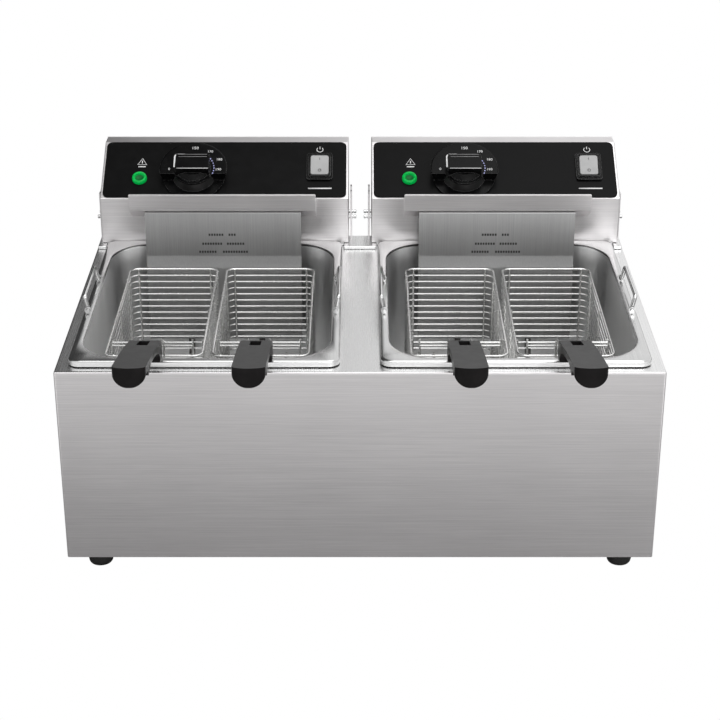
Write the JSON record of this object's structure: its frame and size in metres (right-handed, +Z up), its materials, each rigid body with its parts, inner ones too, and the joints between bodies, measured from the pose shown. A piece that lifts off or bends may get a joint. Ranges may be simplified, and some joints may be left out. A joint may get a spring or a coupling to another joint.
{
  "type": "deep fryer",
  "caption": "Countertop deep fryer with side-by-side lift-out tanks, raised control heads with dials and rocker switches, and wire baskets with black grips.",
  "frame": {"origin": "on the floor under the middle of the whole object's box, between the feet", "axes": "+X to the right seen from the front, +Y towards the back, +Z up"},
  "size_m": [0.5662, 0.5404, 0.3158],
  "materials": {
    "steel_sheet": "brushed stainless sheet, grain across the fronts and from front to back on the deck",
    "steel_wire": "bright drawn stainless or plated wire",
    "element_sheath": "dull heat-toned tube",
    "black_plastic": "black moulded phenolic, fine satin",
    "panel_print": "smooth satin-black printed overlay",
    "green_lens": "translucent green lens",
    "grey_plastic": "light grey moulded rocker",
    "brown_plastic": "plain moulded body, out of sight",
    "foot_rubber": "matte black rubber"
  },
  "bodies": {
    "cabinet": {"cabinet_shell": "steel_sheet", "rear_ledge": "steel_sheet", "base_plate": "steel_sheet", "back_panel": "steel_sheet", "foot_front_left": "foot_rubber", "foot_front_right": "foot_rubber", "foot_rear_left": "foot_rubber", "foot_rear_right": "foot_rubber", "bracket_outer_left": "steel_sheet", "bracket_inner_left": "steel_sheet", "bracket_inner_right": "steel_sheet", "bracket_outer_right": "steel_sheet"},
    "tank_left": {"tank_left": "steel_sheet"},
    "bail_outer_left": {"tank_bail_outer_left": "steel_wire"},
    "bail_inner_left": {"tank_bail_inner_left": "steel_wire"},
    "head_left": {"head_housing_left": "steel_sheet", "head_back_cover_left": "steel_sheet", "cable_gland_left": "black_plastic", "control_panel_left": "panel_print", "indicator_lamp_left": "green_lens", "thermostat_left": "brown_plastic", "switch_bezel_left": "black_plastic", "hook_bar_left": "steel_sheet", "element_guard_left": "steel_sheet", "heating_element_left": "element_sheath", "hanger_rod_front_left": "steel_wire", "hanger_rod_rear_left": "steel_wire"},
    "knob_left": {"knob_left": "black_plastic", "thermostat_shaft_left": "steel_wire"},
    "rocker_left": {"switch_rocker_left": "grey_plastic"},
    "tank_right": {"tank_right": "steel_sheet"},
    "bail_outer_right": {"tank_bail_outer_right": "steel_wire"},
    "bail_inner_right": {"tank_bail_inner_right": "steel_wire"},
    "head_right": {"head_housing_right": "steel_sheet", "head_back_cover_right": "steel_sheet", "cable_gland_right": "black_plastic", "control_panel_right": "panel_print", "indicator_lamp_right": "green_lens", "thermostat_right": "brown_plastic", "switch_bezel_right": "black_plastic", "hook_bar_right": "steel_sheet", "element_guard_right": "steel_sheet", "heating_element_right": "element_sheath", "hanger_rod_front_right": "steel_wire", "hanger_rod_rear_right": "steel_wire"},
    "knob_right": {"knob_right": "black_plastic", "thermostat_shaft_right": "steel_wire"},
    "rocker_right": {"switch_rocker_right": "grey_plastic"},
    "basket_left_outer": {"basket_mesh_left_outer": "steel_wire", "basket_frame_left_outer": "steel_wire", "basket_grip_left_outer": "black_plastic"},
    "basket_left_inner": {"basket_mesh_left_inner": "steel_wire", "basket_frame_left_inner": "steel_wire", "basket_grip_left_inner": "black_plastic"},
    "basket_right_inner": {"basket_mesh_right_inner": "steel_wire", "basket_frame_right_inner": "steel_wire", "basket_grip_right_inner": "black_plastic"},
    "basket_right_outer": {"basket_mesh_right_outer": "steel_wire", "basket_frame_right_outer": "steel_wire", "basket_grip_right_outer": "black_plastic"}
  },
  "joints": [
    {"name": "tank_lift_left", "type": "slide", "parent": "cabinet", "child": "tank_left", "axis": [0, 0, 1], "range_m": [0, 0.16]},
    {"name": "bail_outer_left_turn", "type": "hinge", "parent": "tank_left", "child": "bail_outer_left", "pos_m": [-0.2635, 0.00475, 0.226], "axis": [0, 1, 0], "range_deg": [0, 90]},
    {"name": "bail_inner_left_turn", "type": "hinge", "parent": "tank_left", "child": "bail_inner_left", "pos_m": [-0.0235, 0.00475, 0.226], "axis": [0, -1, 0], "range_deg": [0, 90]},
    {"name": "head_lift_left", "type": "slide", "parent": "tank_left", "child": "head_left", "axis": [0, 0, 1], "range_m": [0, 0.16]},
    {"name": "knob_turn_left", "type": "hinge", "parent": "head_left", "child": "knob_left", "pos_m": [-0.1766, 0.18483, 0.28495], "axis": [0, 0.5202, -0.8541], "range_deg": [0, 270]},
    {"name": "rocker_press_left", "type": "hinge", "parent": "head_left", "child": "rocker_left", "pos_m": [-0.0431, 0.19452, 0.29249], "axis": [-1, 0, 0], "range_deg": [0, 14]},
    {"name": "tank_lift_right", "type": "slide", "parent": "cabinet", "child": "tank_right", "axis": [0, 0, 1], "range_m": [0, 0.16]},
    {"name": "bail_outer_right_turn", "type": "hinge", "parent": "tank_right", "child": "bail_outer_right", "pos_m": [0.2635, 0.00475, 0.226], "axis": [0, -1, 0], "range_deg": [0, 90]},
    {"name": "bail_inner_right_turn", "type": "hinge", "parent": "tank_right", "child": "bail_inner_right", "pos_m": [0.0235, 0.00475, 0.226], "axis": [0, 1, 0], "range_deg": [0, 90]},
    {"name": "head_lift_right", "type": "slide", "parent": "tank_right", "child": "head_right", "axis": [0, 0, 1], "range_m": [0, 0.16]},
    {"name": "knob_turn_right", "type": "hinge", "parent": "head_right", "child": "knob_right", "pos_m": [0.1106, 0.18483, 0.28495], "axis": [0, 0.5202, -0.8541], "range_deg": [0, 270]},
    {"name": "rocker_press_right", "type": "hinge", "parent": "head_right", "child": "rocker_right", "pos_m": [0.2441, 0.19452, 0.29249], "axis": [-1, 0, 0], "range_deg": [0, 14]},
    {"name": "basket_lift_left_outer", "type": "slide", "parent": "head_left", "child": "basket_left_outer", "axis": [0, 0, 1], "range_m": [0, 0.11]},
    {"name": "basket_lift_left_inner", "type": "slide", "parent": "head_left", "child": "basket_left_inner", "axis": [0, 0, 1], "range_m": [0, 0.11]},
    {"name": "basket_lift_right_inner", "type": "slide", "parent": "head_right", "child": "basket_right_inner", "axis": [0, 0, 1], "range_m": [0, 0.11]},
    {"name": "basket_lift_right_outer", "type": "slide", "parent": "head_right", "child": "basket_right_outer", "axis": [0, 0, 1], "range_m": [0, 0.11]}
  ]
}
